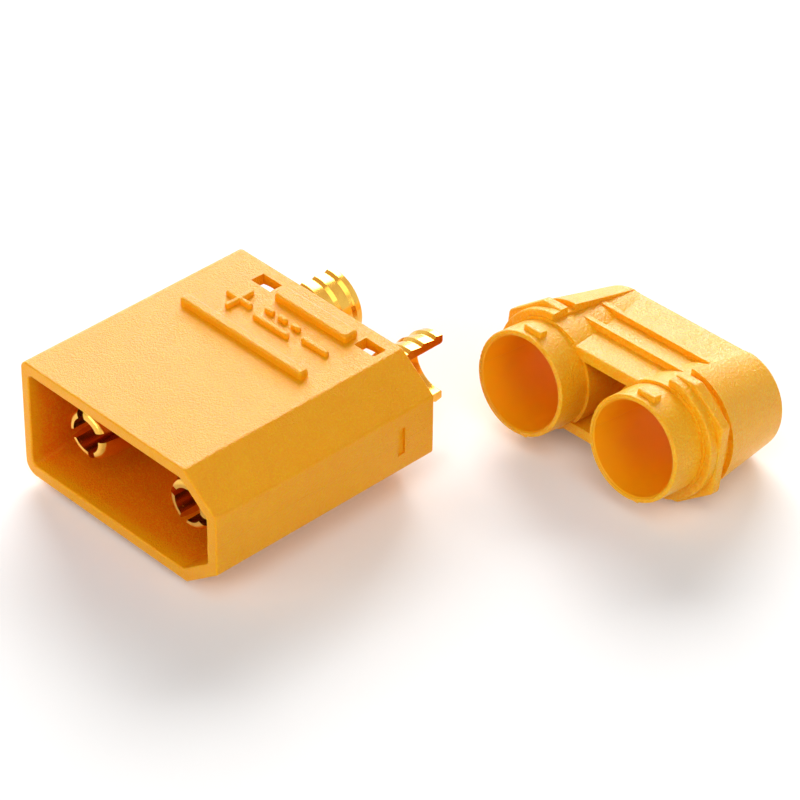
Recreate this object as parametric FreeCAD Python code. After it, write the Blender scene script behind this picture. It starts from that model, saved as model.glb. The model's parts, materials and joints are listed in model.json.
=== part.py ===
import FreeCAD, Part
import math
import os

# Two-pole battery connector: a moulded housing, two turned contacts and the rear cap, lying beside it.
# Millimetres. The origin is the middle of the mating mouth, on the plane of the two contact axes.
# X runs across the poles towards the chamfered end, Y from the mouth towards the wires, Z up.

# Outline of the housing
body_width = 20.7
body_height = 9.85
body_length = 20.7
chamfer_across = 3.25
chamfer_high = 2.45
upper_corner_radius = 0.65
lower_corner_radius = 1.1
chamfer_blend_radius = 0.35

# Walls and depths of the housing
roof_wall = 0.95
square_end_wall = 0.8
chamfer_end_wall = 1.0
inner_corner_radius = 0.45
mouth_depth = 12.0
partition_thickness = 4.0
edge_round = 0.15

# Raised grip bars on the upper and lower faces
bar_height = 0.6
bar_edge_round = 0.24
long_bar_start = -7.8
long_bar_length = 12.8
long_bar_breadth = 0.9
long_bar_from_rear = 7.1
short_bar_start = -3.55
short_bar_length = 7.5
short_bar_breadth = 1.35
short_bar_from_rear = 1.35

# Polarity signs sunk into the two end walls
sign_length = 2.3
sign_stroke = 0.65
sign_depth = 0.2
sign_from_rear = 3.15

# Contacts: the split pin
contact_pitch = 10.9
pin_setback = 1.7
pin_tip_diameter = 4.0
pin_diameter = 4.5
pin_root_diameter = 4.1
pin_full_from_tip = 2.0
pin_full_length = 5.2
pin_leaf_length = 8.0
pin_bore_diameter = 2.7
pin_bore_depth = 8.6
tip_round = 0.42
slot_width = 0.7
slot_length = 7.3
plus_slot_turn = 20.0
minus_slot_turn = -18.0

# Contacts: the seat in the housing
collar_diameter = 5.2
collar_proud = 0.4
seat_clearance = 0.02
lock_ring_height = 0.3
lock_ring_length = 0.6
shoulder_height = 0.4
shoulder_length = 0.5

# Contacts: the solder cup
cup_reach = 5.25
cup_bore_diameter = 4.3
cup_bore_length = 8.2
cup_root_diameter = 5.56
cup_crest_height = 0.17
cup_ridge_pitch = 1.27
cup_ridge_rise = 0.3
cup_last_ridge_from_end = 0.6
cup_outer_round = 0.12
cup_inner_round = 0.2
cup_opening_offset = 0.35
cup_opening_length = 4.5
cup_opening_corner = 0.8
drill_half_angle = 59.0

# Rear cap: the two tubes and their snap nubs
tube_diameter = 8.12
tube_bore_diameter = 7.28
tube_reach = 2.6
tube_fit_clearance = 0.06
tube_lip_round = 0.1
nub_width = 1.65
nub_length = 0.8
nub_height = 0.36
nub_round = 0.12
nub_side_clearance = 0.2
nub_end_clearance = 0.2
window_from_rear = 1.65

# Rear cap: collars, flange, groove and body
cap_length = 12.2
collar_setback = 0.25
cap_collar_diameter = 9.6
flange_setback = 1.0
flange_thickness = 0.9
flange_width = 20.6
flange_height = 9.8
flange_chamfer_across = 2.95
flange_chamfer_high = 2.2
flange_corner_radius = 0.5
groove_length = 0.8
groove_diameter = 8.8
shell_front_diameter = 9.7
shell_rear_diameter = 7.7
shell_inner_offset = 0.1
barrel_front_diameter = 8.6
barrel_rear_diameter = 7.66
cap_rear_round = 0.35

# Rear cap: the deck between the barrels
deck_low = 2.65
deck_front_high = 3.5
deck_rear_high = 3.82
rib_high = 4.15
rib_thickness = 0.42
first_rib_from_deck_front = 2.85
rib_spacing = 2.55
web_from_deck_front = 5.0

# Rear cap: the room inside
cap_chamber_depth = 8.6
wire_hole_diameter = 5.8
wire_hole_round = 0.25

# Where the cap lies beside the housing
cap_place_across = 16.65
cap_place_along = 28.65
cap_yaw = 1.8

# Values worked out from the sizes above
half_pitch = contact_pitch / 2
half_width = body_width / 2
half_height = body_height / 2
table_level = -(half_height + bar_height)
partition_front = mouth_depth
partition_rear = mouth_depth + partition_thickness
recess_radius = tube_diameter / 2 + tube_fit_clearance
cup_end = body_length + cup_reach
flange_front = tube_reach + flange_setback
flange_back = flange_front + flange_thickness
shell_front = flange_back + groove_length
X_AXIS = FreeCAD.Vector(1, 0, 0)
Y_AXIS = FreeCAD.Vector(0, 1, 0)
Z_AXIS = FreeCAD.Vector(0, 0, 1)
ORIGIN = FreeCAD.Vector(0, 0, 0)


def box(x_range, y_range, z_range):
    """A block between two limits on each axis."""
    lows = [min(pair) for pair in (x_range, y_range, z_range)]
    highs = [max(pair) for pair in (x_range, y_range, z_range)]
    sizes = [high - low for low, high in zip(lows, highs)]
    return Part.makeBox(*sizes, FreeCAD.Vector(*lows))


def rod(radius, start, end, across=0.0, end_radius=None):
    """A round bar or a cone along Y, from start to end."""
    base = FreeCAD.Vector(across, start, 0)
    if end_radius is None:
        return Part.makeCylinder(radius, end - start, base, Y_AXIS)
    return Part.makeCone(radius, end_radius, end - start, base, Y_AXIS)


def outline(sides, along):
    """A closed outline at the depth along, from its sides taken anticlockwise.

    Each side is its outward angle, its distance from the middle and the radius of the corner after it.
    """
    corners = []
    for place, (angle, distance, radius) in enumerate(sides):
        next_angle, next_distance, _ = sides[(place + 1) % len(sides)]
        first = math.radians(angle)
        second = math.radians(next_angle)
        reach = distance - radius
        next_reach = next_distance - radius
        turn = math.sin(second - first)
        centre_x = (reach * math.sin(second) - next_reach * math.sin(first)) / turn
        centre_z = (next_reach * math.cos(first) - reach * math.cos(second)) / turn
        middle = first + ((second - first) % (2 * math.pi)) / 2
        corners.append([FreeCAD.Vector(centre_x + radius * math.cos(way), along,
                                       centre_z + radius * math.sin(way))
                        for way in (first, middle, second)])
    edges = []
    for place, (start, middle, end) in enumerate(corners):
        edges.append(Part.Arc(start, middle, end).toShape())
        following = corners[(place + 1) % len(corners)][0]
        edges.append(Part.LineSegment(end, following).toShape())
    return Part.Wire(edges)


def prism(sides, start, end):
    """The outline drawn out along Y from start to end."""
    return Part.Face(outline(sides, start)).extrude(FreeCAD.Vector(0, end - start, 0))


def chamfer_slope(across, high, side, roof):
    """The outward angle of a chamfer and its distance from the middle."""
    distance = (side * high + (roof - high) * across) / math.hypot(across, high)
    return math.degrees(math.atan2(across, high)), distance


def housing_sides(right_inset=0.0, slope_inset=0.0, roof_inset=0.0, left_inset=0.0, corner=None):
    """The housing's outline, chamfered at its right end, with each side moved in by its inset."""
    angle, slope = chamfer_slope(chamfer_across, chamfer_high, half_width, half_height)
    slope -= slope_inset
    roof = half_height - roof_inset
    blend = chamfer_blend_radius if corner is None else corner
    upper = upper_corner_radius if corner is None else corner
    lower = lower_corner_radius if corner is None else corner
    return [(0, half_width - right_inset, blend), (angle, slope, blend), (90, roof, upper),
            (180, half_width - left_inset, lower), (270, roof, blend), (360 - angle, slope, blend)]


def flange_sides():
    """The outline of the cap's flange, chamfered at both ends."""
    side = flange_width / 2
    roof = flange_height / 2
    corner = flange_corner_radius
    angle, slope = chamfer_slope(flange_chamfer_across, flange_chamfer_high, side, roof)
    return [(0, side, corner), (angle, slope, corner), (90, roof, corner),
            (180 - angle, slope, corner), (180, side, corner), (180 + angle, slope, corner),
            (270, roof, corner), (360 - angle, slope, corner)]


def edges_at(shape, along, keep=None):
    """The edges of a shape that lie wholly at one depth, and pass the test keep."""
    found = []
    for edge in shape.Edges:
        limits = edge.BoundBox
        flat = abs(limits.YMin - along) < 1e-4 and abs(limits.YMax - along) < 1e-4
        if flat and (keep is None or keep(edge)):
            found.append(edge)
    return found


def soft_block(x_range, y_range, z_range, radius):
    """A block with every edge rounded."""
    block = box(x_range, y_range, z_range)
    return block.makeFillet(radius, block.Edges)


def both_faces(shape):
    """A shape and its mirror image below the plane of the contacts."""
    return [shape, shape.mirror(ORIGIN, Z_AXIS)]


def grip_bars():
    """The long and the short raised bar, on the upper and the lower face."""
    bars = []
    for start, length, breadth, from_rear in (
            (long_bar_start, long_bar_length, long_bar_breadth, long_bar_from_rear),
            (short_bar_start, short_bar_length, short_bar_breadth, short_bar_from_rear)):
        rear = body_length - from_rear
        top = half_height + bar_height
        root = half_height - roof_wall / 2
        bars += both_faces(soft_block((start, start + length), (rear - breadth, rear), (root, top),
                                      bar_edge_round))
    return bars


def polarity_signs():
    """The cutters of the minus sign in the chamfered end and the plus sign in the square end."""
    middle = body_length - sign_from_rear
    half = sign_length / 2
    stroke = sign_stroke / 2
    floor = half_width - sign_depth
    out = half_width + sign_depth
    minus = box((floor, out), (middle - stroke, middle + stroke), (-half, half))
    plus_up = box((-out, -floor), (middle - stroke, middle + stroke), (-half, half))
    plus_along = box((-out, -floor), (middle - half, middle + half), (-stroke, stroke))
    return [minus, plus_up, plus_along]


def make_housing():
    """The moulded housing: mouth, partition with two seats, two rear sockets and four snap windows."""
    shell = prism(housing_sides(), 0, body_length)
    cavity = prism(housing_sides(chamfer_end_wall, chamfer_end_wall, roof_wall, square_end_wall,
                                 inner_corner_radius), -1, mouth_depth)
    shell = shell.cut(cavity)
    shell = shell.makeFillet(edge_round, edges_at(shell, 0) + edges_at(shell, body_length))
    for across in (-half_pitch, half_pitch):
        shell = shell.cut(rod(recess_radius, partition_rear, body_length + 1, across))
        lead = rod(recess_radius, body_length - edge_round, body_length, across, recess_radius + edge_round)
        shell = shell.cut(lead)
        shell = shell.cut(rod(collar_diameter / 2 + seat_clearance, mouth_depth - 1, partition_rear + 1, across))
        shell = shell.cut(lock_ring(across, seat_clearance))
        half_window = nub_width / 2 + nub_side_clearance
        window_middle = body_length - window_from_rear
        half_opening = nub_length / 2 + nub_end_clearance
        shell = shell.cut(box((across - half_window, across + half_window),
                              (window_middle - half_opening, window_middle + half_opening),
                              (-body_height, body_height)))
    for sign in polarity_signs():
        shell = shell.cut(sign)
    shell = shell.fuse(grip_bars())
    return shell.removeSplitter()


def lock_ring(across, clearance=0.0):
    """The ring round a contact that the partition is moulded over."""
    middle = (partition_front + partition_rear) / 2
    half = lock_ring_length / 2 + clearance
    radius = collar_diameter / 2 + lock_ring_height + clearance
    return rod(radius, middle - half, middle + half, across)


def pin_profile():
    """The outer line of the split pin, from its tip to the front of its collar."""
    tip = pin_setback
    tip_radius = pin_tip_diameter / 2
    full_radius = pin_diameter / 2
    swell = FreeCAD.Vector(full_radius - (full_radius - tip_radius) / 3, tip + pin_full_from_tip / 2, 0)
    full_start = FreeCAD.Vector(full_radius, tip + pin_full_from_tip, 0)
    full_end = FreeCAD.Vector(full_radius, full_start.y + pin_full_length, 0)
    root = FreeCAD.Vector(pin_root_diameter / 2, tip + pin_leaf_length, 0)
    crown = FreeCAD.Vector(tip_radius - tip_round, tip, 0)
    cheek = FreeCAD.Vector(tip_radius, tip + tip_round, 0)
    bend = tip_round * (1 - math.sqrt(0.5))
    knee = FreeCAD.Vector(tip_radius - bend, tip + bend, 0)
    collar_start = FreeCAD.Vector(pin_root_diameter / 2, partition_front - collar_proud, 0)
    edges = [Part.Arc(crown, knee, cheek).toShape(), Part.Arc(cheek, swell, full_start).toShape()]
    straight = [full_start, full_end, root, collar_start]
    edges += [Part.LineSegment(first, second).toShape() for first, second in zip(straight, straight[1:])]
    return edges, crown, collar_start


def cup_profile(start):
    """The cup's ridged outer line from start to its open end: each ridge rises steeply and falls away slowly."""
    root = cup_root_diameter / 2
    crest = root + cup_crest_height
    last = cup_end - cup_last_ridge_from_end
    count = int((last - start - 2 * cup_ridge_rise) // cup_ridge_pitch)
    points = [(root, start)]
    for step in range(count, -1, -1):
        place = last - step * cup_ridge_pitch
        points += [(root, place - cup_ridge_rise), (crest, place)]
    fall = cup_crest_height / (cup_ridge_pitch - cup_ridge_rise)
    lip = cup_last_ridge_from_end - cup_outer_round
    points.append((crest - lip * fall, cup_end - cup_outer_round))
    return points


def make_contact(across, slot_turn, open_way):
    """One turned contact: split pin, collar, locking ring, shoulder and half-open solder cup."""
    edges, crown, collar_start = pin_profile()
    collar = collar_diameter / 2
    shoulder = collar + shoulder_height
    shoulder_end = partition_rear + shoulder_length
    corners = [(collar, collar_start.y), (collar, partition_rear), (shoulder, partition_rear),
               (shoulder, shoulder_end)] + cup_profile(shoulder_end)
    line = [collar_start] + [FreeCAD.Vector(radius, along, 0) for radius, along in corners]
    edges += [Part.LineSegment(first, second).toShape() for first, second in zip(line, line[1:])]
    rim = FreeCAD.Vector(line[-1].x - cup_outer_round, cup_end, 0)
    bend = cup_outer_round * (1 - math.sqrt(0.5))
    edges.append(Part.Arc(line[-1], FreeCAD.Vector(line[-1].x - bend, cup_end - bend, 0), rim).toShape())
    back = FreeCAD.Vector(0, cup_end, 0)
    front = FreeCAD.Vector(0, crown.y, 0)
    edges += [Part.LineSegment(first, second).toShape()
              for first, second in ((rim, back), (back, front), (front, crown))]
    solid = Part.Face(Part.Wire(edges)).revolve(ORIGIN, Y_AXIS, 360)
    solid = solid.fuse(lock_ring(0.0))
    solid = solid.cut(pin_bore()).cut(cup_bore())
    for turn in (slot_turn, slot_turn + 90):
        solid = solid.cut(leaf_slot(turn))
    solid = solid.cut(cup_opening(open_way))
    solid.translate(FreeCAD.Vector(across, 0, 0))
    return solid.removeSplitter()


def pin_bore():
    """The blind bore that makes the pin springy, with a drilled end."""
    radius = pin_bore_diameter / 2
    end = pin_setback + pin_bore_depth
    point = radius / math.tan(math.radians(drill_half_angle))
    return rod(radius, 0, end).fuse(rod(radius, end, end + point, 0.0, 0.0))


def leaf_slot(turn):
    """One saw cut across the pin, with a round end."""
    end = pin_setback + slot_length
    reach = pin_diameter
    half = slot_width / 2
    cut = box((-reach, reach), (0, end), (-half, half))
    cut = cut.fuse(Part.makeCylinder(half, 2 * reach, FreeCAD.Vector(-reach, end, 0), X_AXIS))
    cut.rotate(ORIGIN, Y_AXIS, -turn)
    return cut


def cup_bore():
    """The blind bore of the solder cup, with a drilled end and a rounded mouth."""
    radius = cup_bore_diameter / 2
    start = cup_end - cup_bore_length
    point = radius / math.tan(math.radians(drill_half_angle))
    bore = rod(radius, start, cup_end + 1).fuse(rod(0.0, start - point, start, 0.0, radius))
    round_start = cup_end - cup_inner_round
    bend = cup_inner_round * (1 - math.sqrt(0.5))
    inner = FreeCAD.Vector(radius, round_start, 0)
    outer = FreeCAD.Vector(radius + cup_inner_round, cup_end, 0)
    middle = FreeCAD.Vector(radius + bend, cup_end - bend, 0)
    closing = [outer, FreeCAD.Vector(outer.x, cup_end + 1, 0), FreeCAD.Vector(0, cup_end + 1, 0),
               FreeCAD.Vector(0, round_start, 0), inner]
    edges = [Part.Arc(inner, middle, outer).toShape()]
    edges += [Part.LineSegment(first, second).toShape() for first, second in zip(closing, closing[1:])]
    return bore.fuse(Part.Face(Part.Wire(edges)).revolve(ORIGIN, Y_AXIS, 360))


def cup_opening(way):
    """The cut that opens the outward side of the cup, with rounded corners at its front."""
    start = cup_end - cup_opening_length
    reach = cup_root_diameter
    cut = box((cup_opening_offset, reach), (start, cup_end + 1), (-reach, reach))
    cut = cut.makeFillet(cup_opening_corner, [edge for edge in edges_at(cut, start)
                                              if edge.BoundBox.XMax < cup_opening_offset + 1e-3])
    if way < 0:
        cut = cut.mirror(ORIGIN, X_AXIS)
    return cut


def cap_tubes():
    """The two front tubes with a snap nub above and below each."""
    pieces = []
    for across in (-half_pitch, half_pitch):
        tube = rod(tube_diameter / 2, 0, tube_reach + collar_setback, across)
        tube = tube.makeFillet(tube_lip_round, edges_at(tube, 0))
        pieces.append(tube)
        nub_middle = tube_reach - window_from_rear
        nub = soft_block((across - nub_width / 2, across + nub_width / 2),
                         (nub_middle - nub_length / 2, nub_middle + nub_length / 2),
                         (tube_diameter / 2 - nub_height, tube_diameter / 2 + nub_height), nub_round)
        pieces += both_faces(nub)
        barrel_start = tube_reach + collar_setback / 2
        barrel = rod(barrel_front_diameter / 2, barrel_start, cap_length, across, barrel_rear_diameter / 2)
        pieces.append(barrel.makeFillet(cap_rear_round, edges_at(barrel, cap_length)))
    return pieces


def cap_shell():
    """The outer halves of the cap: collars, flange, groove and the body that narrows to the rear."""
    collar_front = tube_reach + collar_setback
    flange = prism(flange_sides(), flange_front, flange_back)
    flange = flange.makeFillet(edge_round, edges_at(flange, flange_front) + edges_at(flange, flange_back))
    pieces = []
    for side in (-1, 1):
        across = side * half_pitch
        collar = rod(cap_collar_diameter / 2, collar_front, flange_front, across)
        collar = collar.makeFillet(edge_round, edges_at(collar, collar_front))
        groove = rod(groove_diameter / 2, flange_back, shell_front, across)
        body = rod(shell_front_diameter / 2, shell_front, cap_length, across, shell_rear_diameter / 2)
        body = body.makeFillet(cap_rear_round, edges_at(body, cap_length))
        inner = side * (half_pitch + shell_inner_offset)
        outer_half = box((inner, side * body_width), (0, cap_length + 1), (-body_height, body_height))
        pieces.append(collar.fuse([flange, groove, body]).common(outer_half))
    return pieces


def cap_deck():
    """The upper and lower deck between the barrels, their cross ribs and the web behind them."""
    front = tube_reach
    pieces = []
    corners = [(front, deck_low), (front, deck_front_high), (cap_length, deck_rear_high), (cap_length, deck_low)]
    points = [FreeCAD.Vector(-half_pitch, along, high) for along, high in corners + corners[:1]]
    plate = Part.Face(Part.makePolygon(points)).extrude(FreeCAD.Vector(contact_pitch, 0, 0))
    plate = plate.makeFillet(edge_round, edges_at(plate, front, lambda edge: edge.BoundBox.ZMin > deck_low))
    plate = plate.makeFillet(cap_rear_round, edges_at(plate, cap_length, lambda edge: edge.BoundBox.ZMin > deck_low))
    pieces += both_faces(plate)
    for count in range(2):
        start = front + first_rib_from_deck_front + count * rib_spacing
        pieces += both_faces(box((-half_pitch, half_pitch), (start, start + rib_thickness), (deck_low, rib_high)))
    pieces.append(box((-half_pitch, half_pitch), (front + web_from_deck_front, cap_length), (-deck_low, deck_low)))
    return pieces


def cap_room(across):
    """What is cut out of one barrel: the chamber for the solder cup and the hole for its wire."""
    bore = tube_bore_diameter / 2
    hole = wire_hole_diameter / 2
    chamber = rod(bore, -1, cap_chamber_depth, across)
    funnel = rod(bore, cap_chamber_depth, cap_chamber_depth + (bore - hole), across, hole)
    exit_hole = rod(hole, 0, cap_length + 1, across)
    mouth = rod(bore + tube_lip_round, 0, tube_lip_round, across, bore)
    flare = rod(hole, cap_length - wire_hole_round, cap_length, across, hole + wire_hole_round)
    return [chamber, funnel, exit_hole, mouth, flare]


def make_cap():
    """The moulded rear cap, built with its tubes' mouths at zero depth."""
    solid = cap_tubes() + cap_shell() + cap_deck()
    cap = solid[0].fuse(solid[1:])
    for across in (-half_pitch, half_pitch):
        for cutter in cap_room(across):
            cap = cap.cut(cutter)
    return cap.removeSplitter()


def lay_cap(cap):
    """The cap laid down beside the housing, resting on the sloping underside of its two barrels."""
    narrowing = (shell_front_diameter - shell_rear_diameter) / 2
    tilt = math.atan2(narrowing, cap_length - shell_front)
    cap.rotate(ORIGIN, X_AXIS, -math.degrees(tilt))
    cap.rotate(ORIGIN, Z_AXIS, cap_yaw)
    cap.translate(FreeCAD.Vector(cap_place_across, cap_place_along, 0))
    cap.translate(FreeCAD.Vector(0, 0, table_level - cap.optimalBoundingBox(False).ZMin))
    return cap


def main():
    """Build the four pieces and write one file for each."""
    os.makedirs("parts", exist_ok=True)
    pieces = {
        "housing": make_housing(),
        "contact_plus": make_contact(-half_pitch, plus_slot_turn, -1),
        "contact_minus": make_contact(half_pitch, minus_slot_turn, 1),
        "rear_cap": lay_cap(make_cap()),
    }
    for name, shape in pieces.items():
        solids = shape.Solids
        if len(solids) != 1 or not shape.isValid():
            raise ValueError(f"{name} is not one sound solid: {len(solids)} solids")
        solids[0].exportStep(os.path.join("parts", name + ".step"))
        limits = solids[0].BoundBox
        print(name, round(solids[0].Volume, 2), [round(value, 2) for value in (
            limits.XMin, limits.YMin, limits.ZMin, limits.XMax, limits.YMax, limits.ZMax)])


main()
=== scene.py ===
"""Looks of the battery connector: moulded nylon, gold contacts, the raised signs and the studio."""
import json
import logging
import math
from dataclasses import dataclass, field
from enum import Enum
from typing import Any, Iterable, Optional, Union

import bmesh
import bpy
from mathutils import Matrix, Vector

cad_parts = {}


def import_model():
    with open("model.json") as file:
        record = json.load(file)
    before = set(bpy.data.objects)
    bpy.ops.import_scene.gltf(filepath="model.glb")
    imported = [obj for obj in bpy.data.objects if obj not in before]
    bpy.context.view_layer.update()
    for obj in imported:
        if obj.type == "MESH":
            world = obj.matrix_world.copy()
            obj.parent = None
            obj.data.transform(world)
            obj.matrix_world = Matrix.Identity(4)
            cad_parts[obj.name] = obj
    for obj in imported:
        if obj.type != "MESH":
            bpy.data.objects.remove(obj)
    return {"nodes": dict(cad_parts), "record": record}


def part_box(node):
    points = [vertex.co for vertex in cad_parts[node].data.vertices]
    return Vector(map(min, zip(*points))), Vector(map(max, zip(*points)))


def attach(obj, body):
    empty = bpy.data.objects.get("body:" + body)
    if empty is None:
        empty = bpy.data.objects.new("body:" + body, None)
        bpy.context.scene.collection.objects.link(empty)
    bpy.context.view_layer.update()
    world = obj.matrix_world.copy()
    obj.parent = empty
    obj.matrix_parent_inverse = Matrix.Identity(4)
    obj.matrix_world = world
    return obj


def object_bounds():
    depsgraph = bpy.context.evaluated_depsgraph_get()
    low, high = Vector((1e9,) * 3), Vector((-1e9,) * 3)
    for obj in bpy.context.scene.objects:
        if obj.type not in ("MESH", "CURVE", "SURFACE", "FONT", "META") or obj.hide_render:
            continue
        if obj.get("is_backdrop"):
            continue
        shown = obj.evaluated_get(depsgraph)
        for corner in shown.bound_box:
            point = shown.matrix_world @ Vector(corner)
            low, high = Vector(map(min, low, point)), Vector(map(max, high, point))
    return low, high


MM = 0.001
LOG = logging.getLogger("battery_connector")

Triple = tuple[float, float, float]
Colour = Triple
Range = tuple[float, float]
Operand = Union["Signal", float]
WHITE: Colour = (1.0, 1.0, 1.0)


class Signal:
    """One output of a shader node, which takes part in Python expressions as Math nodes."""

    def __init__(self, tree: "ShaderTree", socket: bpy.types.NodeSocket) -> None:
        """Keep the output and the tree that it belongs to."""
        self.tree = tree
        self.socket = socket

    def _math(self, operation: str, *operands: Operand) -> "Signal":
        """Add one Math node.

        Args:
            operation: the Math node's operation.
            operands: its inputs, in order.

        Returns:
            The node's result.
        """
        inputs = dict(enumerate(operands))
        return self.tree.add("ShaderNodeMath", {"operation": operation}, inputs)

    def __add__(self, other: Operand) -> "Signal":
        """self + other."""
        return self._math("ADD", self, other)

    def __radd__(self, other: Operand) -> "Signal":
        """other + self."""
        return self._math("ADD", other, self)

    def __sub__(self, other: Operand) -> "Signal":
        """self - other."""
        return self._math("SUBTRACT", self, other)

    def __rsub__(self, other: Operand) -> "Signal":
        """other - self."""
        return self._math("SUBTRACT", other, self)

    def __mul__(self, other: Operand) -> "Signal":
        """self * other."""
        return self._math("MULTIPLY", self, other)

    def __rmul__(self, other: Operand) -> "Signal":
        """other * self."""
        return self._math("MULTIPLY", other, self)

    def __truediv__(self, other: Operand) -> "Signal":
        """self / other."""
        return self._math("DIVIDE", self, other)

    def __rtruediv__(self, other: Operand) -> "Signal":
        """other / self."""
        return self._math("DIVIDE", other, self)

    def __pow__(self, other: Operand) -> "Signal":
        """self ** other."""
        return self._math("POWER", self, other)

    def __abs__(self) -> "Signal":
        """The size of the signal."""
        return self._math("ABSOLUTE", self)

    def least(self, other: Operand) -> "Signal":
        """The smaller of two signals."""
        return self._math("MINIMUM", self, other)

    def most(self, other: Operand) -> "Signal":
        """The larger of two signals."""
        return self._math("MAXIMUM", self, other)

    def fade(self, start: float, end: float) -> "Signal":
        """Turn the signal into a smooth mask.

        Args:
            start: where the mask is 0.
            end: where the mask is 1.

        Returns:
            The mask, held to 0 and 1 outside the two values.
        """
        settings = {"interpolation_type": "SMOOTHSTEP"}
        values = {"Value": self, "From Min": start, "From Max": end, "To Min": 0.0, "To Max": 1.0}
        if start > end:
            values.update({"From Min": end, "From Max": start, "To Min": 1.0, "To Max": 0.0})
        return self.tree.add("ShaderNodeMapRange", settings, values)


class ShaderTree:
    """A material or a world and the nodes that make it."""

    def __init__(self, owner: Union[bpy.types.Material, bpy.types.World]) -> None:
        """Empty the owner's tree and keep it."""
        self.owner = owner
        owner.use_nodes = True
        self.nodes = owner.node_tree.nodes
        self.links = owner.node_tree.links
        self.nodes.clear()

    def add(self, kind: str, settings: Optional[dict[str, Any]] = None,
            inputs: Optional[dict[Union[str, int], Any]] = None, output: Union[str, int] = 0) -> Signal:
        """Add any node.

        Args:
            kind: the node's type.
            settings: properties that are set first.
            inputs: a value or a signal for each named or numbered input.
            output: the name or number of the output that is returned.

        Returns:
            The chosen output as a signal.
        """
        node = self.nodes.new(kind)
        for name, value in (settings or {}).items():
            setattr(node, name, value)
        for key, value in (inputs or {}).items():
            socket = self._pick(node.inputs, key)
            if isinstance(value, Signal):
                self.links.new(value.socket, socket)
            elif isinstance(value, tuple) and len(value) == 3 and socket.type == "RGBA":
                socket.default_value = (*value, 1.0)
            else:
                socket.default_value = value
        return Signal(self, self._pick(node.outputs, output))

    @staticmethod
    def _pick(sockets: Iterable[bpy.types.NodeSocket], key: Union[str, int]) -> bpy.types.NodeSocket:
        """The socket in use with that name or number."""
        if isinstance(key, int):
            return sockets[key]
        return next(socket for socket in sockets if socket.name == key and not socket.is_unavailable)

    def place(self, shift: Vector = Vector(), turn: Vector = Vector(),
              stretch: Triple = (1.0, 1.0, 1.0)) -> Signal:
        """The point on the piece, seen from a place of its own.

        Args:
            shift: the place's origin, in metres.
            turn: the place's rotation, in radians about X, Y and Z.
            stretch: how much longer the pattern is along each axis.

        Returns:
            The point in that place's axes.
        """
        coordinates = self.add("ShaderNodeTexCoord", output="Object")
        return self.add("ShaderNodeMapping", {"vector_type": "TEXTURE"},
                        {"Vector": coordinates, "Location": shift, "Rotation": turn, "Scale": stretch})

    def split(self, vector: Signal) -> tuple[Signal, Signal, Signal]:
        """The three parts of a vector."""
        outputs = self.add("ShaderNodeSeparateXYZ", inputs={"Vector": vector}).socket.node.outputs
        return Signal(self, outputs[0]), Signal(self, outputs[1]), Signal(self, outputs[2])

    def noise(self, vector: Signal, size: float, detail: float = 2.0, roughness: float = 0.5) -> Signal:
        """A cloudy pattern whose features are about that size in metres."""
        return self.add("ShaderNodeTexNoise", None, {"Vector": vector, "Scale": 1.0 / size, "Detail": detail,
                                                     "Roughness": roughness})

    def blend(self, mask: Operand, first: Union[Signal, Colour], second: Union[Signal, Colour]) -> Signal:
        """A colour that goes from the first to the second as the mask goes from 0 to 1."""
        settings = {"data_type": "RGBA", "clamp_factor": True}
        inputs = {"Factor": mask, "A": first, "B": second}
        return self.add("ShaderNodeMix", settings, inputs, output="Result")

    def bump(self, height: Signal, depth: float, strength: float = 1.0) -> Signal:
        """The surface normal with a height pattern of that depth in metres laid on."""
        return self.add("ShaderNodeBump", None, {"Height": height, "Distance": depth, "Strength": strength})

    def ray(self, *kinds: str) -> Signal:
        """A mask that is 1 for the named kinds of ray, such as Is Camera Ray."""
        masks = [self.add("ShaderNodeLightPath", output=kind) for kind in kinds]
        seen = masks[0]
        for mask in masks[1:]:
            seen = seen.most(mask)
        return seen

    def finish(self, shader: Signal) -> Union[bpy.types.Material, bpy.types.World]:
        """Send a shader to the owner's surface and return the owner."""
        is_world = isinstance(self.owner, bpy.types.World)
        node = self.nodes.new("ShaderNodeOutputWorld" if is_world else "ShaderNodeOutputMaterial")
        self.links.new(shader.socket, node.inputs["Surface"])
        return self.owner


@dataclass(frozen=True)
class CapPose:
    """Where the cap lies: the middle of its two mouths and its turn."""

    origin: Vector
    turn: Vector
    half_pitch: float

    @classmethod
    def from_record(cls, record: dict[str, Any]) -> "CapPose":
        """Work the pose out from the two wire exits in the record."""
        exits = {mount["name"]: mount for mount in record["mounts"] if mount["name"].startswith("wire_exit")}
        plus = Vector(exits["wire_exit_plus"]["pos_m"])
        minus = Vector(exits["wire_exit_minus"]["pos_m"])
        along = Vector(exits["wire_exit_plus"]["axis"]).normalized()
        turn = Vector((math.asin(along.z), 0.0, math.atan2(-along.x, along.y)))
        return cls((plus + minus) / 2, turn, (minus - plus).length / 2)


class Grain(Enum):
    """How a moulding's surface is finished by the mould, and where light and shade are painted into its
    colour.
    """

    BLASTED = "sand-blasted"
    # Painted shade: the deeper red-orange inside the mouth stands in for the shade and bounced light there.
    DEEP_MOUTH = "sand-blasted, with a deeper colour inside the mouth"
    # The polished bores also get a brighter colour: painted light inside the tubes.
    POLISHED_BORES = "sand-blasted outside, polished in the bores"


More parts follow.
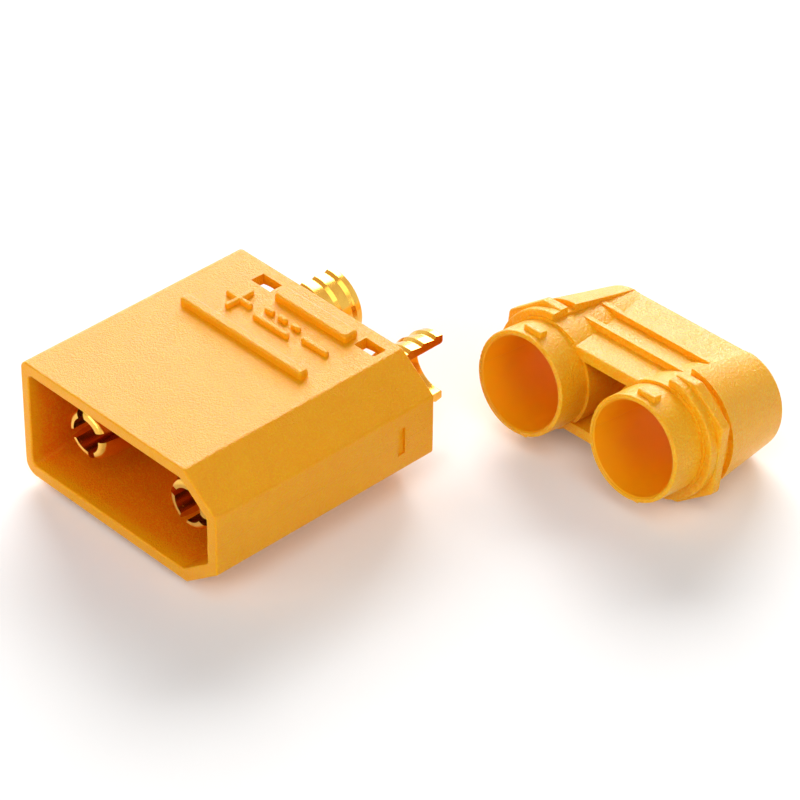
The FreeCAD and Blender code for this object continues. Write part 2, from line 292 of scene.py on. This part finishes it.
@dataclass(frozen=True)
class MouldedNylon:
    """Orange moulded nylon with a sand-blasted skin and pale specks that are partly painted sparkle, a
    parting line, polished bores with painted light in their colour, and painted shade inside the mouth.

    A mask is a pair: where the pattern's mask is 0, and where it is 1.
    """

    colour: Colour = (0.985, 0.400, 0.002)
    # Painted shade: the deep red-orange laid on the walls inside the mouth.
    deep: Colour = (0.980, 0.375, 0.001)
    shaded: Colour = (0.960, 0.215, 0.001)
    # Pale specks: random grain tone that is partly painted sparkle glints.
    pale: Colour = (0.995, 0.640, 0.012)
    pale_speck_glint_share: float = 0.45
    # Painted light: the brighter orange of the bores, which stands in for the glow inside them.
    polished: Colour = (0.985, 0.400, 0.002)
    specular: float = 0.20
    roughness: float = 0.32
    polished_roughness: float = 0.24
    grain_size: float = 0.20 * MM
    speck_size: float = 0.10 * MM
    grain_depth: float = 0.075 * MM
    mottle_size: float = 1.6 * MM
    glow_weight: float = 0.3
    glow_reach: float = 0.6 * MM
    glow_spread: Colour = (1.0, 0.36, 0.05)
    parting_width: float = 0.06 * MM
    parting_depth: float = 0.02 * MM
    parting_core: float = 0.3
    scuff_polish: float = 0.07
    bore_radius: float = 3.72 * MM
    bore_edge: float = 0.05 * MM
    mouth_half_width: float = 9.70 * MM
    mouth_half_height: float = 4.30 * MM
    mouth_edge: float = 0.1 * MM
    mouth_slope: Range = (3.25 * MM, 2.45 * MM)
    slope_mask: Range = (4.0, 3.9)
    mouth_start: Range = (0.2 * MM, 1.6 * MM)
    mouth_end: Range = (16.1 * MM, 16.0 * MM)
    refraction: float = 1.53
    speck_relief: float = 0.6
    relief_strength: float = 0.85
    streak_size: float = 0.25 * MM
    streak_stretch: Triple = (1.0, 0.12, 1.0)
    streak_mask: Range = (0.68, 0.78)
    scuffed_mask: Range = (0.50, 0.62)
    colour_mask: Range = (0.35, 0.70)
    pale_speck_glint_mask: Range = (0.45, 0.70)
    shiny_mask: Range = (0.62, 0.75)
    shiny_polish: float = 0.10
    mottle_polish: float = 0.10

    def make(self, name: str, grain: Grain, shift: Vector = Vector(), turn: Vector = Vector(),
             half_pitch: float = 0.0) -> bpy.types.Material:
        """Build the material.

        Args:
            name: the material's name.
            grain: which surfaces the mould polishes, and where shade or light is painted into the colour.
            shift: the moulding's own origin, in metres.
            turn: the moulding's own rotation, in radians.
            half_pitch: how far each bore's axis is from the moulding's middle.

        Returns:
            The finished material.
        """
        tree = ShaderTree(bpy.data.materials.new(name))
        point = tree.place(shift, turn)
        across, along, high = tree.split(point)
        mottle = tree.noise(point, self.mottle_size, 4.0, 0.6)
        colour = tree.blend(mottle.fade(*self.colour_mask), self.deep, self.colour)
        blasted: Operand = 1.0
        if grain is Grain.POLISHED_BORES:
            off_axis = abs(across) - half_pitch
            distance = (off_axis * off_axis + high * high) ** 0.5
            blasted = distance.fade(self.bore_radius, self.bore_radius + self.bore_edge)
            # Painted light: the bores take the brighter polished colour, standing in for the glow inside the
            # tubes.
            colour = tree.blend(blasted, self.polished, colour)
        grains = tree.noise(point, self.grain_size, 3.0, 0.6)
        specks = tree.noise(point, self.speck_size, 1.0)
        streaks = tree.noise(tree.place(shift, turn, self.streak_stretch), self.streak_size, 2.0)
        scuffs = streaks.fade(*self.streak_mask) * mottle.fade(*self.scuffed_mask)
        seam = abs(high).fade(self.parting_width, self.parting_width * self.parting_core)
        # Painted shade: the walls inside the mouth turn deep red-orange, standing in for the shade there.
        if grain is Grain.DEEP_MOUTH:
            colour = tree.blend(self._mouth_shade_mask(across, along, high), colour, self.shaded)
        # Pale specks on the blasted skin: random grain tone, partly painted sparkle glints.
        colour = tree.blend(specks.fade(*self.pale_speck_glint_mask) * blasted * self.pale_speck_glint_share, colour, self.pale)
        relief = (grains + specks * self.speck_relief) * blasted
        normal = tree.bump(relief, self.grain_depth, self.relief_strength)
        normal = tree.add("ShaderNodeBump", None, {"Height": seam, "Distance": self.parting_depth,
                                                   "Strength": 1.0, "Normal": normal})
        base = self.polished_roughness + blasted * (self.roughness - self.polished_roughness)
        roughness = base + (mottle - 0.5) * self.mottle_polish
        roughness = roughness - specks.fade(*self.shiny_mask) * blasted * self.shiny_polish
        roughness = roughness - scuffs * self.scuff_polish
        shader = tree.add("ShaderNodeBsdfPrincipled", None, {
            "Base Color": colour, "Roughness": roughness, "Normal": normal, "IOR": self.refraction,
            "Specular IOR Level": self.specular, "Subsurface Weight": self.glow_weight,
            "Subsurface Radius": self.glow_spread, "Subsurface Scale": self.glow_reach})
        return tree.finish(shader)

    def _mouth_shade_mask(self, across: Signal, along: Signal, high: Signal) -> Signal:
        """A mask that is 1 on the walls inside the mouth, within its chamfered corners, where the painted
        shade goes.
        """
        sides = abs(across).fade(self.mouth_half_width, self.mouth_half_width - self.mouth_edge)
        roof = abs(high).fade(self.mouth_half_height, self.mouth_half_height - self.mouth_edge)
        slope = across / self.mouth_slope[0] + abs(high) / self.mouth_slope[1]
        depth = along.fade(*self.mouth_start) * along.fade(*self.mouth_end)
        return sides * roof * slope.fade(*self.slope_mask) * depth


# The cap's polished colour is painted light inside its tubes, and its whiter pale specks are partly painted
# sparkle.
CAP_NYLON = MouldedNylon(colour=(0.992, 0.445, 0.003), deep=(0.988, 0.425, 0.002), pale=(0.998, 0.660, 0.060),
                         polished=(1.0, 0.440, 0.002), grain_size=0.24 * MM, grain_depth=0.10 * MM,
                         speck_size=0.16 * MM, pale_speck_glint_share=0.55, polished_roughness=0.42, specular=0.25,
                         glow_weight=0.4, glow_reach=0.7 * MM)
SIGN_NYLON = MouldedNylon(glow_weight=0.0)


@dataclass(frozen=True)
class GoldPlate:
    """Polished gold plating over turned brass, with fine lathe marks."""

    colour: Colour = (0.850, 0.490, 0.080)
    worn: Colour = (0.760, 0.380, 0.050)
    roughness: float = 0.16
    ring_size: float = 0.10 * MM
    ring_depth: float = 0.003 * MM
    ring_stretch: Triple = (60.0, 1.0, 60.0)
    ring_strength: float = 0.8
    stain_size: float = 1.2 * MM
    dust_size: float = 0.05 * MM
    worn_mask: Range = (0.40, 0.70)
    worn_share: float = 0.6
    dull_mask: Range = (0.45, 0.75)
    dulling: float = 0.14
    dust_dulling: float = 0.05

    def make(self, name: str) -> bpy.types.Material:
        """Build the material.

        Args:
            name: the material's name.

        Returns:
            The finished material.
        """
        tree = ShaderTree(bpy.data.materials.new(name))
        point = tree.place()
        rings = tree.noise(tree.place(stretch=self.ring_stretch), self.ring_size, 2.0)
        stains = tree.noise(point, self.stain_size, 5.0, 0.65)
        dust = tree.noise(point, self.dust_size, 1.0)
        colour = tree.blend(stains.fade(*self.worn_mask) * self.worn_share, self.colour, self.worn)
        roughness = self.roughness + stains.fade(*self.dull_mask) * self.dulling
        roughness = roughness + (dust - 0.5) * self.dust_dulling
        shader = tree.add("ShaderNodeBsdfPrincipled", None, {
            "Base Color": colour, "Metallic": 1.0, "Roughness": roughness,
            "Normal": tree.bump(rings, self.ring_depth, self.ring_strength)})
        return tree.finish(shader)


class Sign(Enum):
    """The generic signs that stand on the roof."""

    PLUS = "plus"
    MINUS = "minus"
    DIRECT_CURRENT = "direct_current"


class PieceMaker:
    """Turns a bmesh into a finished object that belongs to the part."""

    merge_distance: float = 0.0005 * MM
    sharp_angle: float = math.radians(40)

    @classmethod
    def build(cls, mesh_data: bmesh.types.BMesh, name: str, material: bpy.types.Material,
              slot: str) -> bpy.types.Object:
        """Make the object, dress it and tie it to the frame.

        Args:
            mesh_data: the shape, in metres, in the row frame. It is freed here.
            name: the piece's name.
            material: its material.
            slot: not used.

        Returns:
            The new object.
        """
        bmesh.ops.remove_doubles(mesh_data, verts=mesh_data.verts, dist=cls.merge_distance)
        bmesh.ops.recalc_face_normals(mesh_data, faces=mesh_data.faces)
        mesh = bpy.data.meshes.new(name)
        mesh_data.to_mesh(mesh)
        mesh_data.free()
        mesh.shade_smooth()
        mesh.set_sharp_from_angle(angle=cls.sharp_angle)
        mesh.materials.append(material)
        piece = bpy.data.objects.new(name, mesh)
        bpy.context.scene.collection.objects.link(piece)
        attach(piece, "root")
        LOG.info("%s: %d faces", name, len(mesh.polygons))
        return piece


@dataclass
class RoofSigns:
    """Raised signs on the housing's roof, between the two grip bars."""

    roof: float
    middle_along: float = 16.1 * MM
    height: float = 0.36 * MM
    sunk: float = 0.08 * MM
    stroke: float = 0.46 * MM
    size: float = 2.7 * MM
    edge_round: float = 0.17 * MM
    end_fill: float = 0.96
    end_segments: int = 6
    rim_segments: int = 4
    wide: float = 3.7 * MM
    dash_gap: float = 0.46 * MM
    line_gap: float = 1.15 * MM
    places: dict[Sign, float] = field(default_factory=lambda: {
        Sign.PLUS: -5.1 * MM, Sign.DIRECT_CURRENT: -1.1 * MM, Sign.MINUS: 2.9 * MM})

    def bar(self, length: float, across: float, along: float, crossed: bool = False) -> bmesh.types.BMesh:
        """Shape one raised bar with round ends, or a cross of two.

        Args:
            length: the bar's whole length.
            across: its middle along X.
            along: its middle along Y.
            crossed: True for a second bar across the first.

        Returns:
            The bar as a bmesh.
        """
        shape = bmesh.new()
        half = self.stroke / 2
        tall = self.height + self.sunk
        bmesh.ops.create_cube(shape, size=1.0)
        bmesh.ops.scale(shape, vec=(self.stroke, self.stroke, tall), verts=shape.verts)
        ways = [Vector((1, 0, 0)), Vector((-1, 0, 0))]
        if crossed:
            ways += [Vector((0, 1, 0)), Vector((0, -1, 0))]
        ends = []
        for way in ways:
            shape.faces.ensure_lookup_table()
            face = next(face for face in shape.faces if face.normal.dot(way) > 0.99)
            grown = bmesh.ops.extrude_discrete_faces(shape, faces=[face])["faces"]
            bmesh.ops.translate(shape, vec=way * (length / 2 - half), verts=grown[0].verts)
            ends.append(grown[0])
        shape.normal_update()
        self._round_ends(shape, ends, half)
        self._round_top(shape, tall)
        lift = Vector((across, along, self.roof + tall / 2 - self.sunk))
        bmesh.ops.translate(shape, vec=lift, verts=shape.verts)
        return shape

    def _round_ends(self, shape: bmesh.types.BMesh, ends: list[bmesh.types.BMFace], half: float) -> None:
        """Round the upright edges at each end of the bars."""
        upright = [edge for face in ends for edge in face.edges
                   if abs((edge.verts[0].co - edge.verts[1].co).normalized().z) > 0.9]
        bmesh.ops.bevel(shape, geom=list(set(upright)), offset=half * self.end_fill,
                        segments=self.end_segments, profile=0.5, affect="EDGES", material=-1)

    def _round_top(self, shape: bmesh.types.BMesh, tall: float) -> None:
        """Round the rim of the top face."""
        rim = [edge for edge in shape.edges
               if all(vert.co.z > tall / 2 * 0.99 for vert in edge.verts)
               and any(abs(face.normal.z) < 0.5 for face in edge.link_faces)]
        bmesh.ops.bevel(shape, geom=rim, offset=self.edge_round, segments=self.rim_segments, profile=0.5,
                        affect="EDGES", material=-1)

    def shapes(self, sign: Sign) -> list[tuple[str, bmesh.types.BMesh]]:
        """The named bars that make one sign."""
        across = self.places[sign]
        if sign is Sign.PLUS:
            return [("sign_plus", self.bar(self.size, across, self.middle_along, crossed=True))]
        if sign is Sign.MINUS:
            return [("sign_minus", self.bar(self.size, across, self.middle_along))]
        line = self.middle_along - self.line_gap / 2
        dashes = self.middle_along + self.line_gap / 2
        dash = (self.wide - 2 * self.dash_gap) / 3
        made = [("sign_current_line", self.bar(self.wide, across, line))]
        for count in (-1, 0, 1):
            place = across + count * (dash + self.dash_gap)
            made.append((f"sign_current_dash_{count + 2}", self.bar(dash, place, dashes)))
        return made

    def build(self, material: bpy.types.Material) -> None:
        """Stand every sign on the roof."""
        for sign in Sign:
            for name, shape in self.shapes(sign):
                PieceMaker.build(shape, name, material, "orange_nylon")


@dataclass
class Housing:
    """The moulded housing, with painted shade inside its mouth and the raised signs on its roof."""

    node: bpy.types.Object
    finish: MouldedNylon
    bar_height: float = 0.6 * MM

    def dress(self) -> None:
        """Give the housing its skin, with painted shade inside the mouth, and its signs."""
        material = self.finish.make("housing_nylon", Grain.DEEP_MOUTH)
        dress_node(self.node, material)
        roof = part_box(self.node.name)[1][2] - self.bar_height
        RoofSigns(roof=roof).build(SIGN_NYLON.make("sign_nylon", Grain.BLASTED))


@dataclass
class Contacts:
    """The two gold-plated contacts."""

    nodes: list[bpy.types.Object]
    finish: GoldPlate

    def dress(self) -> None:
        """Give both contacts their plating."""
        material = self.finish.make("gold_plate")
        for node in self.nodes:
            dress_node(node, material)


@dataclass
class RearCap:
    """The rear cap, whose tubes are polished inside and carry painted light in their colour."""

    node: bpy.types.Object
    finish: MouldedNylon
    pose: CapPose

    def dress(self) -> None:
        """Give the cap its skin."""
        material = self.finish.make("cap_nylon", Grain.POLISHED_BORES, self.pose.origin, self.pose.turn,
                                    self.pose.half_pitch)
        dress_node(self.node, material)


def dress_node(node: bpy.types.Object, material: bpy.types.Material) -> None:
    """Put a material on every slot of a CAD node."""
    for place in node.material_slots:
        place.material = material
    LOG.info("%s: dressed with %s", node.name, material.name)


@dataclass(frozen=True)
class Softbox:
    """A rectangular lamp that looks at the part from a distance."""

    name: str
    azimuth: float
    elevation: float
    distance: float
    width: float
    height: float
    radiance: float
    colour: Colour = (1.0, 1.0, 1.0)

    def build(self, target: Vector) -> None:
        """Hang the lamp, turned towards the target."""
        lamp = bpy.data.lights.new(self.name, "AREA")
        lamp.shape = "RECTANGLE"
        lamp.size = self.width
        lamp.size_y = self.height
        lamp.color = self.colour
        lamp.energy = self.radiance * math.pi * self.width * self.height
        holder = bpy.data.objects.new(self.name, lamp)
        turn, lift = math.radians(self.azimuth), math.radians(self.elevation)
        way = Vector((math.sin(turn) * math.cos(lift), -math.cos(turn) * math.cos(lift), math.sin(lift)))
        holder.location = target + way * self.distance
        holder.rotation_euler = (-way).to_track_quat("-Z", "Y").to_euler()
        bpy.context.scene.collection.objects.link(holder)


@dataclass
class Studio:
    """The floor, the lamps, the surroundings and the camera at the photograph's view."""

    floor_level: float
    target: Vector = field(default_factory=lambda: Vector((6.759, 20.8, 0.075)) * MM)
    azimuth: float = 45.94
    elevation: float = 36.734
    roll: float = 0.587
    distance: float = 287.9 * MM
    focal_length: float = 180.75
    sensor_width: float = 36.0
    nearest_seen: float = 0.01
    floor_size: float = 3.0
    floor_colour: Colour = (0.94, 0.94, 0.94)
    floor_glow: float = 0.09
    surroundings: float = 0.15
    surroundings_colour: Colour = (1.0, 0.90, 0.82)
    ceiling_colour: Colour = (0.80, 0.58, 0.38)
    ceiling_starts: float = 0.50
    ceiling_ends: float = 0.75
    lamps: tuple[Softbox, ...] = (
        Softbox("window_behind", azimuth=226.0, elevation=27.0, distance=1.0,
                width=0.78, height=0.6, radiance=10.4),
        Softbox("panel_left", azimuth=350.0, elevation=22.0, distance=0.9,
                width=0.6, height=0.5, radiance=3.1),
        Softbox("panel_right", azimuth=86.0, elevation=20.0, distance=0.4,
                width=0.27, height=0.18, radiance=2.2),
        Softbox("front_fill", azimuth=50.0, elevation=58.0, distance=0.9,
                width=0.6, height=0.6, radiance=1.9),
    )

    def build(self) -> None:
        """Set up everything round the part."""
        self._floor()
        self._surroundings()
        for lamp in self.lamps:
            lamp.build(self.target)
        self._camera()
        bpy.context.scene.view_settings.view_transform = "Standard"

    def _floor(self) -> None:
        """Lay a pale floor that shows white where nothing shades it."""
        shape = bmesh.new()
        bmesh.ops.create_grid(shape, x_segments=1, y_segments=1, size=self.floor_size / 2)
        bmesh.ops.translate(shape, vec=(0.0, 0.0, self.floor_level), verts=shape.verts)
        mesh = bpy.data.meshes.new("studio_floor")
        shape.to_mesh(mesh)
        shape.free()
        tree = ShaderTree(bpy.data.materials.new("studio_floor"))
        paper = tree.add("ShaderNodeBsdfDiffuse", None, {"Color": self.floor_colour})
        seen = tree.ray("Is Camera Ray", "Is Glossy Ray", "Is Transmission Ray")
        glow = tree.add("ShaderNodeEmission", None, {"Color": WHITE, "Strength": seen * self.floor_glow})
        mesh.materials.append(tree.finish(tree.add("ShaderNodeAddShader", None, {0: paper, 1: glow})))
        floor = bpy.data.objects.new("studio_floor", mesh)
        bpy.context.scene.collection.objects.link(floor)
        floor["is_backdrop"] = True

    def _surroundings(self) -> None:
        """Light the part softly from all round, against a white background."""
        tree = ShaderTree(bpy.data.worlds.new("studio"))
        soft = tree.add("ShaderNodeBackground", None, {
            "Color": self.surroundings_colour, "Strength": self.surroundings})
        way = tree.add("ShaderNodeTexCoord", output="Generated")
        climb = tree.split(way)[2]
        settings = {"interpolation_type": "LINEAR"}
        above = tree.add("ShaderNodeMapRange", settings, {
            "Value": climb, "From Min": self.ceiling_starts, "From Max": self.ceiling_ends})
        dome = tree.blend(above * tree.ray("Is Glossy Ray"), WHITE, self.ceiling_colour)
        backdrop = tree.add("ShaderNodeBackground", None, {"Color": dome, "Strength": 1.0})
        seen = tree.ray("Is Camera Ray", "Is Glossy Ray", "Is Transmission Ray")
        mixed = tree.add("ShaderNodeMixShader", None, {0: seen, 1: soft, 2: backdrop})
        bpy.context.scene.world = tree.finish(mixed)

    def _camera(self) -> None:
        """Stand the camera where the photograph was taken."""
        turn, lift, roll = (math.radians(angle) for angle in (self.azimuth, self.elevation, self.roll))
        back = Vector((math.sin(turn) * math.cos(lift), -math.cos(turn) * math.cos(lift), math.sin(lift)))
        level = Vector((math.cos(turn), math.sin(turn), 0.0))
        upright = back.cross(level)
        right = level * math.cos(roll) + upright * math.sin(roll)
        up = upright * math.cos(roll) - level * math.sin(roll)
        lens = bpy.data.cameras.new("camera")
        lens.sensor_width = self.sensor_width
        lens.lens = self.focal_length
        lens.clip_start = self.nearest_seen
        camera = bpy.data.objects.new("camera", lens)
        camera.matrix_world = Matrix.LocRotScale(
            self.target + back * self.distance, Matrix((right, up, back)).transposed(), None)
        bpy.context.scene.collection.objects.link(camera)
        bpy.context.scene.camera = camera


def main() -> None:
    """Load the frame, dress its pieces, add the new ones and set up the studio."""
    logging.basicConfig(level=logging.INFO, format="%(name)s %(message)s")
    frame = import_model()
    cad_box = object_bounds()
    nodes = frame["nodes"]
    Studio(floor_level=cad_box[0][2]).build()
    Housing(nodes["housing"], MouldedNylon()).dress()
    Contacts([nodes["contact_plus"], nodes["contact_minus"]], GoldPlate()).dress()
    RearCap(nodes["rear_cap"], CAP_NYLON, CapPose.from_record(frame["record"])).dress()


if __name__ == "__main__":
    main()
